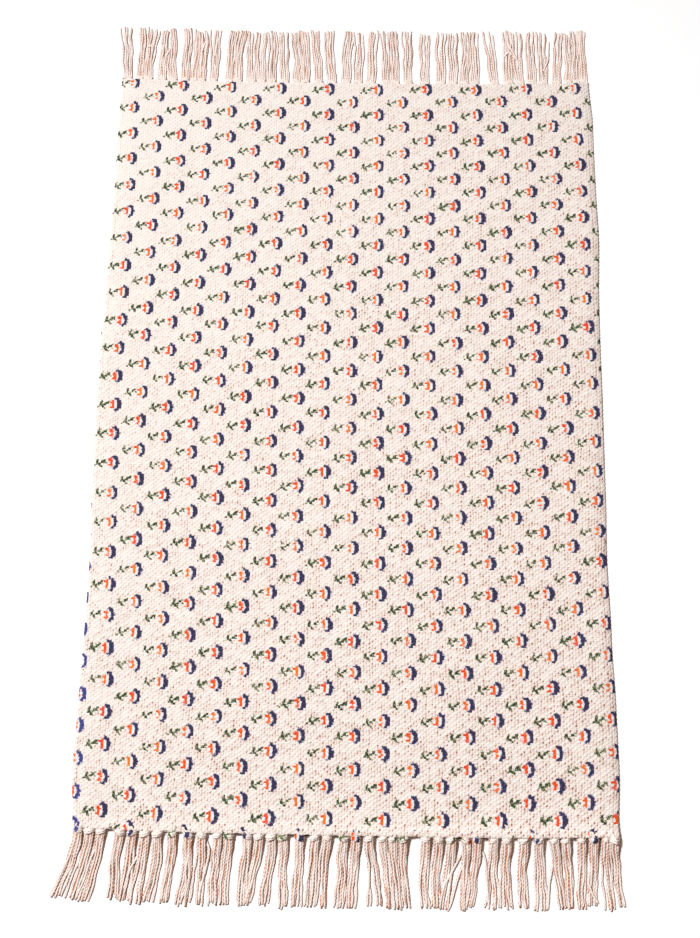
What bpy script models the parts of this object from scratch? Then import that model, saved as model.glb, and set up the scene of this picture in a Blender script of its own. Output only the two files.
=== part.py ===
"""Flat-woven cotton rug with a knotted warp fringe at both ends.

Lengths are in metres and +Z is up. The rug lies on the plane z = 0, its length along Y: the far end is at +Y
and the near end at -Y. The origin is the middle of the woven cloth's underside.

Three pieces: the woven cloth, and a fringe at each end. A fringe is a header, which is the cloth's last few
picks, with the knots of the warp ends on it and three locks of yarn lying flat on the floor from each knot.
"""

import math
import random
from collections import namedtuple

import bmesh
import bpy

MM = 0.001

# The woven cloth.
CLOTH_WIDTH = 0.600
CLOTH_LENGTH = 0.905
CLOTH_THICKNESS = 0.004
EDGE_ROUND = 0.0012
PICK_BOW = 0.004  # in mid width the picks lie this far nearer than at the selvedges
CLOTH_COLUMNS = 10
CLOTH_ROWS = 22

# The fringe. The header is parted from the cloth by NODE_GAP.
NODE_GAP = 0.0003
HEADER_DEPTH = 0.006
FRINGE_LENGTH = 0.075  # from the last pick to the tips, knot included
LENGTH_SPREAD = 0.002
LOCKS = 3
LOCK_BEND = 1.25  # above 1, a leaning lock leaves its knot straighter than it ends
LOCK_MAX_WIDTH = 0.0038
LOCK_SIDE = 0.17  # share of its width by which each side of a lock leans in
LOCK_GAP = 0.0005
LOCK_SWAY = 0.0012  # sideways wave of the locks between knot and tip
SWAY_WAVE = 0.110  # length of that wave across the rug

# Sections of a lock: the share of the way from the knot to the tip, and the height there.
Step = namedtuple("Step", "way height")
LOCK_STEPS = [Step(0.0, 0.0042), Step(0.25, 0.0037), Step(0.5, 0.0033), Step(0.76, 0.0031), Step(1.0, 0.0024)]

# Sections of a knot outward from the cloth's last pick, after its root there and before its end.
Ring = namedtuple("Ring", "out width height")
KNOT_RINGS = [Ring(0.0026, 0.0110, 0.0060), Ring(0.0062, 0.0106, 0.0066)]
KNOT_ROOT_MAX = 0.0125
KNOT_ROOT_GAP = 0.0009
KNOT_SHOULDER = 0.55  # height of a ring's side, as a share of its height
KNOT_CHAMFER = 0.24  # share of a ring's width that slopes on each side
KNOT_END = 0.0094
KNOT_END_WIDTH = 0.0090
KNOT_SPREAD = 0.06

# How far each selvedge wanders outward from the straight line, in millimetres, at a place along the rug.
Wander = namedtuple("Wander", "along left right")
SELVEDGES = [
    Wander(-452.5, 0.0, 0.5),
    Wander(-390.0, 4.0, 4.5),
    Wander(-320.0, 2.5, 4.0),
    Wander(-240.0, 1.0, 1.5),
    Wander(-160.0, 0.5, 0.0),
    Wander(-80.0, 3.0, 1.5),
    Wander(0.0, 4.5, 1.5),
    Wander(85.0, 5.5, 2.0),
    Wander(155.0, 3.5, 2.5),
    Wander(245.0, 1.5, 5.0),
    Wander(300.0, 1.0, 4.0),
    Wander(395.0, 1.0, 3.5),
    Wander(452.5, 0.0, 0.0),
]

# Neighbouring tassels whose yarns lie together. The spans are in millimetres from the left selvedge: root at
# the cloth's edge and tip on the floor.
Clump = namedtuple("Clump", "tassels root_from root_to tip_from tip_to")
NEAR_CLUMPS = [
    Clump(3, 0.5, 39.0, -20.0, 24.0),
    Clump(4, 46.0, 102.0, 40.0, 95.0),
    Clump(1, 105.0, 117.0, 98.5, 109.0),
    Clump(2, 121.0, 151.0, 116.0, 149.0),
    Clump(2, 155.0, 179.0, 152.5, 176.0),
    Clump(2, 187.0, 213.0, 184.0, 200.0),
    Clump(1, 214.5, 225.5, 207.5, 219.0),
    Clump(1, 227.0, 239.0, 227.5, 238.5),
    Clump(1, 245.0, 257.0, 242.5, 255.0),
    Clump(2, 261.0, 288.0, 259.0, 280.5),
    Clump(2, 293.0, 319.0, 289.0, 314.0),
    Clump(1, 321.0, 333.0, 329.0, 343.5),
    Clump(3, 337.0, 370.0, 346.0, 373.0),
    Clump(3, 382.0, 424.5, 384.0, 414.0),
    Clump(2, 427.0, 451.0, 427.0, 442.0),
    Clump(2, 456.0, 485.0, 455.0, 485.0),
    Clump(1, 490.0, 502.5, 491.0, 503.0),
    Clump(1, 507.0, 519.0, 507.0, 524.0),
    Clump(2, 523.0, 548.0, 534.0, 551.0),
    Clump(2, 552.0, 579.0, 555.0, 575.0),
    Clump(2, 581.0, 599.5, 583.0, 607.0),
]
FAR_CLUMPS = [
    Clump(1, 0.5, 12.5, -10.0, 9.0),
    Clump(2, 18.0, 39.0, 19.0, 45.0),
    Clump(2, 43.5, 72.0, 50.0, 65.0),
    Clump(1, 75.5, 86.5, 76.0, 88.0),
    Clump(2, 87.5, 107.5, 92.0, 107.0),
    Clump(1, 111.0, 122.5, 109.5, 126.0),
    Clump(2, 133.0, 154.5, 136.0, 158.0),
    Clump(3, 160.0, 199.0, 160.5, 197.0),
    Clump(1, 203.0, 215.0, 199.5, 210.0),
    Clump(2, 219.0, 241.5, 216.0, 241.0),
    Clump(1, 247.0, 259.0, 243.0, 253.5),
    Clump(1, 264.5, 276.5, 259.0, 272.5),
    Clump(2, 281.0, 311.5, 285.0, 310.0),
    Clump(1, 315.0, 326.5, 317.0, 329.0),
    Clump(2, 334.0, 357.5, 331.0, 355.0),
    Clump(1, 362.0, 374.0, 361.0, 376.0),
    Clump(1, 384.0, 396.5, 382.5, 396.0),
    Clump(2, 403.0, 433.0, 404.0, 434.0),
    Clump(2, 434.0, 460.5, 437.0, 459.0),
    Clump(1, 473.0, 485.0, 464.5, 481.0),
    Clump(2, 491.0, 519.0, 491.0, 515.0),
    Clump(2, 520.0, 549.0, 520.0, 546.0),
    Clump(1, 553.5, 565.5, 559.0, 570.0),
    Clump(3, 569.0, 599.5, 571.0, 599.0),
]

NEAR, FAR = -1, 1  # the two ends, as the sign of their Y

# How the sections that a tassel is lofted through join. A pair is a corner of one section and a corner of the
# next, and the skin between two pairs is one face. Corners go round from the left foot, by the right foot and
# over the top: 4 in a root or a lock, 6 in a knot's ring, and 4 a lock in the face that the locks leave.
LAST_FOOT = 2 * LOCKS - 1
LAST_TOP = 4 * LOCKS - 1
LOCK_TO_LOCK = [(0, 0), (1, 1), (2, 2), (3, 3)]
ROOT_TO_RING = [(0, 0), (1, 1), (2, 2), (2, 3), (3, 4), (3, 5)]
RING_TO_RING = [(0, 0), (1, 1), (2, 2), (3, 3), (4, 4), (5, 5)]
RING_TO_LOCKS = [(0, 0), (1, LAST_FOOT), (2, LAST_FOOT + 1), (3, LAST_FOOT + 1), (4, LAST_TOP), (5, LAST_TOP)]


def selvedge(along, side):
    """X of the cloth's edge at a place along it; side is -1 for the left edge and 1 for the right one.

    Between two rows of the table the edge follows an S-curve, t * t * (3 - 2 * t).
    """
    place = max(SELVEDGES[0].along, min(along / MM, SELVEDGES[-1].along))
    for low, high in zip(SELVEDGES, SELVEDGES[1:]):
        if place <= high.along:
            break
    t = (place - low.along) / (high.along - low.along)
    ease = t * t * (3 - 2 * t)
    start, stop = (low.left, high.left) if side < 0 else (low.right, high.right)
    return side * (CLOTH_WIDTH / 2 + (start + (stop - start) * ease) * MM)


def pick_line(x, along):
    """Y at x of the pick that meets the selvedges at the given place along the rug."""
    across = 2 * x / CLOTH_WIDTH
    return along - PICK_BOW * (1 - across**4)


def make_material(name, colour, roughness):
    """A Principled material of one colour."""
    material = bpy.data.materials.new(name)
    material.use_nodes = True
    shader = material.node_tree.nodes["Principled BSDF"]
    shader.inputs["Base Color"].default_value = (*colour, 1.0)
    shader.inputs["Roughness"].default_value = roughness
    shader.inputs["Metallic"].default_value = 0.0
    return material


def make_object(name, bm, material, collection):
    """A named object from a finished bmesh."""
    mesh = bpy.data.meshes.new(name)
    bm.to_mesh(mesh)
    bm.free()
    mesh.materials.append(material)
    obj = bpy.data.objects.new(name, mesh)
    collection.objects.link(obj)
    return obj


def make_cloth(collection):
    """The woven cloth between the headers: a grid drawn to the rug's outline, thickened and rounded."""
    bm = bmesh.new()
    bmesh.ops.create_grid(bm, x_segments=CLOTH_COLUMNS, y_segments=CLOTH_ROWS, size=1.0)
    reach = CLOTH_LENGTH / 2 - HEADER_DEPTH - NODE_GAP
    for vert in bm.verts:
        across, along = vert.co.x, vert.co.y * reach
        left, right = selvedge(along, -1), selvedge(along, 1)
        x = left + (right - left) * (across + 1) / 2
        vert.co.x = x
        vert.co.y = pick_line(across * CLOTH_WIDTH / 2, along)
    material = make_material("cloth", (0.86, 0.78, 0.70), 0.9)
    cloth = make_object("cloth", bm, material, collection)
    thicken = cloth.modifiers.new("thickness", "SOLIDIFY")
    thicken.thickness = CLOTH_THICKNESS
    thicken.offset = 1.0
    rounding = cloth.modifiers.new("rounded edges", "BEVEL")
    rounding.width = EDGE_ROUND
    rounding.segments = 2
    rounding.limit_method = "ANGLE"
    return cloth


def share(start, stop, count, index, gap, most):
    """One tassel's two sides, in metres across the rug, out of a clump's span in millimetres."""
    cell = (stop - start) * MM / count
    middle = start * MM + (index + 0.5) * cell - CLOTH_WIDTH / 2
    half = min(cell - gap, most) / 2
    return middle - half, middle + half


def tassel_spans(clumps):
    """The root's and the tips' two sides for every tassel, from left to right."""
    spans = []
    for clump in clumps:
        for index in range(clump.tassels):
            root = share(clump.root_from, clump.root_to, clump.tassels, index, KNOT_ROOT_GAP, KNOT_ROOT_MAX)
            tip = share(clump.tip_from, clump.tip_to, clump.tassels, index, LOCK_GAP, CLOTH_WIDTH)
            spans.append((root, tip))
    return spans


def narrowed(span, width):
    """The span with the same middle, no wider than the given width."""
    middle = (span[0] + span[1]) / 2
    half = min(width, span[1] - span[0]) / 2
    return middle - half, middle + half


def lock_spans(span):
    """The two sides of each lock in a tassel that is as wide as the span here."""
    width = min(LOCK_MAX_WIDTH, (span[1] - span[0] - (LOCKS - 1) * LOCK_GAP) / LOCKS)
    pitch = (span[1] - span[0] - width) / (LOCKS - 1)
    return [(span[0] + i * pitch, span[0] + i * pitch + width) for i in range(LOCKS)]


def around(section, first, last):
    """The corners of a closed section from one to another, both included, going on round its end."""
    count = (last - first) % len(section) + 1
    return [section[(first + i) % len(section)] for i in range(count)]


def loft(bm, section, ahead, pairs, open_face=None):
    """The skin from one closed section to the next, a face between each pair of corners and the pair after."""
    for index, (start, stop) in enumerate(zip(pairs, pairs[1:] + pairs[:1])):
        if index != open_face:
            here = around(section, start[0], stop[0])
            there = around(ahead, start[1], stop[1])
            bm.faces.new(here + there[::-1])


def lock_section(bm, span, y, height):
    """A lock's cross-section: flat on the floor and narrower on top."""
    left, right = span
    inset = (right - left) * LOCK_SIDE
    corners = [(left, 0.0), (right, 0.0), (right - inset, height), (left + inset, height)]
    return [bm.verts.new((x, y, z)) for x, z in corners]


def knot_section(bm, span, y, height):
    """A knot's cross-section: flat below, with sloping shoulders."""
    left, right = span
    slope = (right - left) * KNOT_CHAMFER
    side = height * KNOT_SHOULDER
    feet = [(left, 0.0), (right, 0.0)]
    over = [(right, side), (right - slope, height), (left + slope, height), (left, side)]
    return [bm.verts.new((x, y, z)) for x, z in feet + over]


def add_header(bm, end, spans):
    """The last picks of the cloth, a bar cut across at both sides of each knot's root.

    Its outer face is closed between the knots and left open at them. Returns each opening's four corners.
    """
    along = end * CLOTH_LENGTH / 2
    inner = along - end * HEADER_DEPTH
    sides = [x for root, _ in spans for x in root]
    sections = []
    for x in [selvedge(along, -1), *sides, selvedge(along, 1)]:
        y_in, y_out = pick_line(x, inner), pick_line(x, along)
        corners = [(y_in, 0.0), (y_out, 0.0), (y_out, CLOTH_THICKNESS), (y_in, CLOTH_THICKNESS)]
        sections.append([bm.verts.new((x, y, z)) for y, z in corners])
    roots = []
    for index, (left, right) in enumerate(zip(sections, sections[1:])):
        at_knot = index % 2 == 1
        loft(bm, left, right, LOCK_TO_LOCK, open_face=1 if at_knot else None)
        if at_knot:
            roots.append([left[1], right[1], right[2], left[2]])
    bm.faces.new(sections[0])
    bm.faces.new(sections[-1])
    return roots


def add_knot(bm, end, root, root_span, edge, size):
    """A knot on its root, open where its locks leave it. Returns each lock's first section."""
    section, pairs = root, ROOT_TO_RING
    for ring in KNOT_RINGS:
        span = narrowed(root_span, ring.width * size)
        ahead = knot_section(bm, span, edge + end * ring.out * size, ring.height * size)
        loft(bm, section, ahead, pairs)
        section, pairs = ahead, RING_TO_RING
    y_end = edge + end * KNOT_END * size
    spans = lock_spans(narrowed(root_span, KNOT_END_WIDTH * size))
    starts = [lock_section(bm, span, y_end, LOCK_STEPS[0].height) for span in spans]
    feet = [vert for start in starts for vert in start[:2]]
    tops = [vert for start in reversed(starts) for vert in start[2:]]
    loft(bm, section, feet + tops, RING_TO_LOCKS)
    for left, right in zip(starts, starts[1:]):
        bm.faces.new((left[1], right[0], right[3], left[2]))
    return starts


def swayed(span, way):
    """A lock's two sides moved by a soft wave across the whole fringe, in which neighbours stay apart."""
    middle = (span[0] + span[1]) / 2
    sway = LOCK_SWAY * math.sin(2 * math.pi * middle / SWAY_WAVE) * math.sin(math.pi * way)
    return span[0] + sway, span[1] + sway


def add_lock(bm, start, path, y_tip):
    """One lock of yarn, from its section at the knot to its cut tip. The path has its sides at each step."""
    section = start
    y_start = start[0].co.y
    for step, span in zip(LOCK_STEPS[1:], path):
        ahead = lock_section(bm, span, y_start + (y_tip - y_start) * step.way, step.height)
        loft(bm, section, ahead, LOCK_TO_LOCK)
        section = ahead
    bm.faces.new(section)


def add_tassel(bm, end, root, root_span, tip_span, dice):
    """A knot on its root, and the locks that lie from it to their tips."""
    size = 1 + dice.uniform(-KNOT_SPREAD, KNOT_SPREAD)
    edge = pick_line(sum(root_span) / 2, end * CLOTH_LENGTH / 2)
    starts = add_knot(bm, end, root, root_span, edge, size)
    knot_span = narrowed(root_span, KNOT_END_WIDTH * size)
    steps = []
    for step in LOCK_STEPS[1:]:
        lean = step.way**LOCK_BEND
        span = [a + (b - a) * lean for a, b in zip(knot_span, tip_span)]
        steps.append([swayed(lock, step.way) for lock in lock_spans(span)])
    for start, path in zip(starts, zip(*steps)):
        length = FRINGE_LENGTH + dice.uniform(-LENGTH_SPREAD, LENGTH_SPREAD)
        add_lock(bm, start, path, edge + end * length)


def make_fringe(name, end, clumps, seed, collection):
    """The header, knots and locks at one end, in one closed body."""
    bm = bmesh.new()
    dice = random.Random(seed)
    spans = tassel_spans(clumps)
    roots = add_header(bm, end, spans)
    for root, (root_span, tip_span) in zip(roots, spans):
        add_tassel(bm, end, root, root_span, tip_span, dice)
    bmesh.ops.recalc_face_normals(bm, faces=bm.faces)
    material = make_material(name, (0.84, 0.75, 0.67), 0.92)
    return make_object(name, bm, material, collection)


def main():
    for obj in list(bpy.data.objects):
        bpy.data.objects.remove(obj)
    collection = bpy.data.collections.new("dhurrie_rug")
    bpy.context.scene.collection.children.link(collection)
    make_cloth(collection)
    make_fringe("fringe_near", NEAR, NEAR_CLUMPS, 5, collection)
    make_fringe("fringe_far", FAR, FAR_CLUMPS, 8, collection)


main()
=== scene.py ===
# %% [markdown]
# # A printed cotton dhurrie with a knotted fringe
#
# A dhurrie is a flat-woven rug: thick cotton warp yarns run along it, with a weft of the same yarn beaten in
# between them. This one is cream, hand-printed with rows of small sprigs, and its warp ends are knotted into
# tassels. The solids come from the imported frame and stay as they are. This file adds their looks, a floor and
# a light. The frame is in metres: X across the rug, Y along it towards the far end, and Z up from the floor.

# %% The fixed frame
from collections import namedtuple
from functools import partialmethod

import bpy
import numpy as np
from mathutils import Matrix, Vector


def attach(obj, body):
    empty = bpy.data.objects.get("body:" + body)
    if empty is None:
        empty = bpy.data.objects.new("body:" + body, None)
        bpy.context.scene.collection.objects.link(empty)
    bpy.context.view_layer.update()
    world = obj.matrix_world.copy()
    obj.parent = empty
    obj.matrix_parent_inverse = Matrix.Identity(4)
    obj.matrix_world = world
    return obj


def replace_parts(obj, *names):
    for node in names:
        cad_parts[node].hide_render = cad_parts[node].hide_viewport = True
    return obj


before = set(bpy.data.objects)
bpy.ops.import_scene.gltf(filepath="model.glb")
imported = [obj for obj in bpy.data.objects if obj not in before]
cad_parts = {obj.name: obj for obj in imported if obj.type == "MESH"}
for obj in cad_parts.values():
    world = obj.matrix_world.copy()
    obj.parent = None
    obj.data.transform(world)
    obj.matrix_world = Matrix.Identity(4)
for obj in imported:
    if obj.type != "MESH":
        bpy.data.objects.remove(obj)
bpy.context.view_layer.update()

MM = 0.001
print("nodes:", ", ".join(sorted(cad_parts)))

# %% [markdown]
# ## The camera
#
# The rug is seen from almost straight above, a little from the near end. The place, the aim and the slight
# roll were solved from the four corners of the woven cloth.

# %% The camera
CAMERA_PLACE = Vector((0.0053, -0.1640, 0.7944))
CAMERA_VIEW = Vector((-0.00558, 0.14021, -0.99011))
CAMERA_UP = Vector((-0.01327, 0.99002, 0.14027))
CAMERA_SENSOR, CAMERA_LENS = 36.0, 25.98  # mm


def placed(name, data):
    """A new object, linked to the scene."""
    made = bpy.data.objects.new(name, data)
    bpy.context.scene.collection.objects.link(made)
    return made


camera = placed("camera", bpy.data.cameras.new("camera"))
back = -CAMERA_VIEW.normalized()
right = CAMERA_UP.cross(back).normalized()
turned = Matrix((right, back.cross(right), back)).transposed().to_4x4()
camera.matrix_world = Matrix.Translation(CAMERA_PLACE) @ turned
camera.data.sensor_width, camera.data.lens = CAMERA_SENSOR, CAMERA_LENS
bpy.context.scene.camera = camera
print("camera tilt from straight down, degrees:", round(np.degrees(back.angle(Vector((0, 0, 1)))), 1))

# %% [markdown]
# ## Meshes from arrays
#
# Every new piece is worked out with numpy as whole arrays: points, faces, and for each point the values that
# its finish reads. One helper gives the faces of a tube of points, one their places on a map, and one turns
# arrays into an object at the origin, which rides on the rug's only body.

# %% Meshes from arrays
def tube_faces(rows, columns):
    """Four corners for each cell of a grid of points, row by row, whose last column joins its first."""
    row, column = np.meshgrid(np.arange(rows - 1) * columns, np.arange(columns), indexing="ij")
    ahead = (column + 1) % columns
    corners = [row + column, row + ahead, row + columns + ahead, row + columns + column]
    return np.stack(corners, -1).reshape(-1, 4)


def cell_corners(u_lines, v_lines):
    """Places on the bake map of the four corners of each cell between its lines, row by row."""
    row, column = np.meshgrid(np.arange(len(v_lines) - 1), np.arange(len(u_lines) - 1), indexing="ij")
    u = u_lines[column.reshape(-1, 1) + np.array([0, 1, 1, 0])]
    return u, v_lines[row.reshape(-1, 1) + np.array([0, 0, 1, 1])]


def piece_from(name, points, faces, values, bake_map):
    """An object from points, arrays of faces, arrays of three values a point by attribute name, and a place
    on the bake map for each corner of each face."""
    mesh = bpy.data.meshes.new(name)
    mesh.from_pydata(points.reshape(-1, 3), [], [face for group in faces for face in group.tolist()])
    for label, array in values.items():
        layer = mesh.attributes.new(label, "FLOAT_VECTOR", "POINT")
        layer.data.foreach_set("vector", array.astype(np.float32).ravel())
    mesh.uv_layers.new(name="OFBake").data.foreach_set("uv", bake_map.astype(np.float32).ravel())
    mesh.shade_smooth()
    piece = placed(name, mesh)
    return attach(piece, "root")

# %% [markdown]
# ## The outline of the cloth
#
# Hand-woven cloth is never a true rectangle. Its selvedges wander by a few millimetres, and its picks, the
# single throws of weft, bow towards the near end. The cloth, the knots and the print follow these lines, as
# the solids do.

# %% The outline of the cloth
CLOTH_WIDTH, CLOTH_LENGTH, CLOTH_THICKNESS = 0.600, 0.905, 0.004
PICK_BOW = 0.004

# A place along the rug, and how far the left and the right selvedge wander outward there, in millimetres.
SELVEDGES = np.array([
    (-452.5, 0, 0.5), (-390, 4, 4.5), (-320, 2.5, 4), (-240, 1, 1.5), (-160, 0.5, 0), (-80, 3, 1.5),
    (0, 4.5, 1.5), (85, 5.5, 2), (155, 3.5, 2.5), (245, 1.5, 5), (300, 1, 4), (395, 1, 3.5), (452.5, 0, 0),
])


def selvedge(along, side):
    """X of the left (side -1) or right (side 1) edge: half the width plus the wander there, which goes from
    one place of the table to the next by the S-curve t * t * (3 - 2 * t)."""
    places, wanders = SELVEDGES[:, 0], SELVEDGES[:, 1 if side < 0 else 2]
    place = np.clip(along / MM, places[0], places[-1])
    low = np.clip(np.searchsorted(places, place, side="right") - 1, 0, len(places) - 2)
    t = (place - places[low]) / (places[low + 1] - places[low])
    wander = wanders[low] + (wanders[low + 1] - wanders[low]) * t * t * (3 - 2 * t)
    return side * (CLOTH_WIDTH / 2 + wander * MM)


def pick_line(x, along):
    """Y of a pick at x: its place at the selvedges less the bow, which fades with the fourth power of x."""
    return along - PICK_BOW * (1 - (2 * x / CLOTH_WIDTH) ** 4)


print("width at mid length, mm:", round((selvedge(0.0, 1) - selvedge(0.0, -1)) / MM, 1))

# %% [markdown]
# ## Where the tassels lie
#
# Forty tassels at the near end and thirty-nine at the far end have fallen into clumps, which these tables
# give as the solids have them. A few single yarns have come away from their tassels, and are set down one by
# one.

# %% Where the tassels lie
# For each clump its number of tassels, where its roots begin and end on the cloth's edge, and where its tips
# do on the floor, in millimetres from the left selvedge.
NEAR_CLUMPS = np.array([
    (3, 0.5, 39, -20, 24), (4, 46, 102, 40, 95), (1, 105, 117, 98.5, 109), (2, 121, 151, 116, 149),
    (2, 155, 179, 152.5, 176), (2, 187, 213, 184, 200), (1, 214.5, 225.5, 207.5, 219),
    (1, 227, 239, 227.5, 238.5), (1, 245, 257, 242.5, 255), (2, 261, 288, 259, 280.5),
    (2, 293, 319, 289, 314), (1, 321, 333, 329, 343.5), (3, 337, 370, 346, 373), (3, 382, 424.5, 384, 414),
    (2, 427, 451, 427, 442), (2, 456, 485, 455, 485), (1, 490, 502.5, 491, 503), (1, 507, 519, 507, 524),
    (2, 523, 548, 534, 551), (2, 552, 579, 555, 575), (2, 581, 599.5, 583, 607),
])
FAR_CLUMPS = np.array([
    (1, 0.5, 12.5, -10, 9), (2, 18, 39, 19, 45), (2, 43.5, 72, 50, 65), (1, 75.5, 86.5, 76, 88),
    (2, 87.5, 107.5, 92, 107), (1, 111, 122.5, 109.5, 126), (2, 133, 154.5, 136, 158),
    (3, 160, 199, 160.5, 197), (1, 203, 215, 199.5, 210), (2, 219, 241.5, 216, 241),
    (1, 247, 259, 243, 253.5), (1, 264.5, 276.5, 259, 272.5), (2, 281, 311.5, 285, 310),
    (1, 315, 326.5, 317, 329), (2, 334, 357.5, 331, 355), (1, 362, 374, 361, 376),
    (1, 384, 396.5, 382.5, 396), (2, 403, 433, 404, 434), (2, 434, 460.5, 437, 459),
    (1, 473, 485, 464.5, 481), (2, 491, 519, 491, 515), (2, 520, 549, 520, 546), (1, 553.5, 565.5, 559, 570),
    (3, 569, 599.5, 571, 599),
])

# Places along each single yarn, in mm from the left selvedge and out from the cloth's edge.
NEAR_STRAYS = [
    [(6, 5), (0, 30), (-13, 60), (-19, 74)],
    [(33, 8), (22, 35), (17, 55), (8, 76)],
    [(74, 28), (66, 42), (61, 62)],
    [(133, 10), (127, 40), (129, 58), (122, 75)],
    [(148, 8), (153, 20), (149, 40), (141, 72)],
    [(430, 17), (414, 45), (408, 52)],
    [(431, 28), (424, 45), (417, 70), (413, 78)],
    [(449, 9), (455, 25), (458, 75)],
    [(530, 20), (526, 40), (524, 48), (522, 75)],
    [(566, 48), (571, 62), (577, 70)],
]
FAR_STRAYS = [
    [(29, 48), (36, 50), (36, 40)],
    [(49, 30), (51, 43), (47, 56)],
    [(55, 37), (59, 44), (60, 52)],
    [(100, 40), (104, 56), (109, 60)],
    [(118, 38), (121, 65)],
    [(497, 62), (500, 55), (505, 45), (511, 32), (510, 24)],
    [(492, 40), (499, 48), (503, 44)],
    [(543, 20), (549, 34), (551, 62)],
]


def tassel_spans(clumps):
    """For each tassel the middle and the width of its root and of its tips, in metres: a clump's span is
    shared out evenly among its tassels."""
    tassels = clumps[:, 0].astype(int)
    count, root_from, root_to, tip_from, tip_to = np.repeat(clumps, tassels, axis=0).T
    share = (np.concatenate([np.arange(number) for number in tassels]) + 0.5) / count
    root_span, tip_span = root_to - root_from, tip_to - tip_from
    root, tip = root_from + root_span * share, tip_from + tip_span * share
    spans = np.stack([root, root_span / count, tip, tip_span / count], -1) * MM
    return spans - np.array([CLOTH_WIDTH / 2, 0, CLOTH_WIDTH / 2, 0])


NEAR_SPANS, FAR_SPANS = tassel_spans(NEAR_CLUMPS), tassel_spans(FAR_CLUMPS)
print("tassels:", len(NEAR_SPANS), "near,", len(FAR_SPANS), "far")

# %% [markdown]
# ## The cloth
#
# The cloth is one sheet, about 4 mm thick: a closed ring, drawn across the rug over the top, round one
# selvedge, back underneath and round the other, and carried along the rug. On top it has a point for every
# crossing of the 184 warp ends and the 366 picks, so that each can stand out or sink. A few more rings close
# it at both ends.

# %% Rings of the cloth
ENDS, PICKS = 184, 366
END_PITCH_GROWTH = 3.5 / 3.0  # the ends lie 3.0 mm apart at the left selvedge and 3.5 mm at the right
ENDS_PER_BACK_CELL = 8
EDGE_RADIUS = CLOTH_THICKNESS / 2
CLOSING_RINGS = np.array([0.0, 0.15, 0.45])  # added rings, in picks from an end of the cloth
CLOSING_HEIGHTS = np.array([0.40, 0.75, 0.95])  # the share of the full thickness there

end_number = np.arange(ENDS + 1.0)
end_share = (END_PITCH_GROWTH ** (end_number / ENDS) - 1) / (END_PITCH_GROWTH - 1)
arc = np.radians([60, 30, 0, -30, -60])
arc_ends = np.array([0.2, 0.4, 0.6, 0.8, 1.0])
# For each place on the ring: its share of the width, the number of its warp end, and the part of the edge's
# radius that it stands outward and upward.
ring_share = np.concatenate([end_share, np.ones(5), end_share[::-ENDS_PER_BACK_CELL], np.zeros(5)])
ring_end = np.concatenate([end_number, ENDS + arc_ends, end_number[::-ENDS_PER_BACK_CELL], -arc_ends[::-1]])
flat_top, flat_back = np.zeros(ENDS + 1), np.zeros(ENDS // ENDS_PER_BACK_CELL + 1)
ring_out = np.concatenate([flat_top, np.cos(arc), flat_back, -np.cos(arc)])
ring_up = np.concatenate([flat_top + 1, np.sin(arc), flat_back - 1, np.sin(arc[::-1])])
rings = np.concatenate([CLOSING_RINGS, np.arange(1.0, PICKS), PICKS - CLOSING_RINGS[::-1]])  # in picks
print("rings:", len(rings), " points on a ring:", len(ring_share))

# %% [markdown]
# A flat weave still has some life in it. Long, low ripples run through it, and its selvedges lift where they
# are slack, all by less than a millimetre. Each near knot draws the cloth's edge out to itself, and the knots
# hold that edge off the floor, more towards the right.

# %% Ripples of the cloth
Wave = namedtuple("Wave", "across along turn height")  # lengths and height in mm, turn in radians
RIPPLES = [
    Wave(310.0, 540.0, 0.4, 0.16),
    Wave(-150.0, 260.0, 2.1, 0.12),
    Wave(74.0, 330.0, 4.0, 0.09),
    Wave(48.0, -120.0, 1.2, 0.06),
    Wave(-95.0, 66.0, 5.2, 0.06),
    Wave(61.0, 41.0, 3.3, 0.04),
]
SLACK_EDGE, SLACK_REACH = 0.0007, 0.011
SLACK_WAVES = ((-1, 0.173), (1, 0.221))  # for each side the length of a wave of slack along it, in metres
KNOT_LIFTS, LIFT_REACH = (0.0012, 0.0028, 0.0046), 0.012  # the near edge's height at the left, middle, right
KNOT_PULL, PULL_WIDTH, PULL_FADE = 0.0020, 0.42, 0.45  # how far a knot pulls, over how many widths and picks


def edge_lift(x):
    """How far the knots hold the near edge up at x: straight between the three heights."""
    return np.interp(x, [-CLOTH_WIDTH / 2, 0, CLOTH_WIDTH / 2], KNOT_LIFTS)


def knot_pull(x):
    """How far the nearest knot draws the near edge out at x: the falling exponential of the squared distance
    from the knot's middle."""
    middle, width = NEAR_SPANS[:, :2].T
    return KNOT_PULL * np.exp(-(((x[..., None] - middle) / (PULL_WIDTH * width)) ** 2)).max(-1)


def ripple(x, y):
    """Height over the flat state: a sum of sine waves, plus a rise towards each selvedge, which falls off as
    exp(-distance / reach) and comes and goes along the rug, plus a like rise to the near edge."""
    rise = 0
    for wave in RIPPLES:
        turn = 2 * np.pi * (x / wave.across + y / wave.along) / MM + wave.turn
        rise = rise + wave.height * MM * (1 + np.sin(turn)) / 2
    for side, length in SLACK_WAVES:
        slack = SLACK_EDGE * (0.5 + 0.5 * np.sin(2 * np.pi * y / length + side))
        rise = rise + slack * np.exp(-np.abs(selvedge(y, side) - x) / SLACK_REACH)
    return rise + edge_lift(x) * np.exp(-np.maximum(y + CLOTH_LENGTH / 2, 0) / LIFT_REACH)


print("ripples, mm at most:", round((sum(wave.height for wave in RIPPLES) + SLACK_EDGE / MM), 2))

# %% [markdown]
# Where an end goes over a pick, the crossing stands out, and where it goes under, it sinks, like the squares
# of a chessboard. At the selvedges the weft turns back once for every two picks, which leaves small scallops.
# Yarn is never even, so every crossing is also moved a little, by random numbers blurred over a few yarns.

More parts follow.
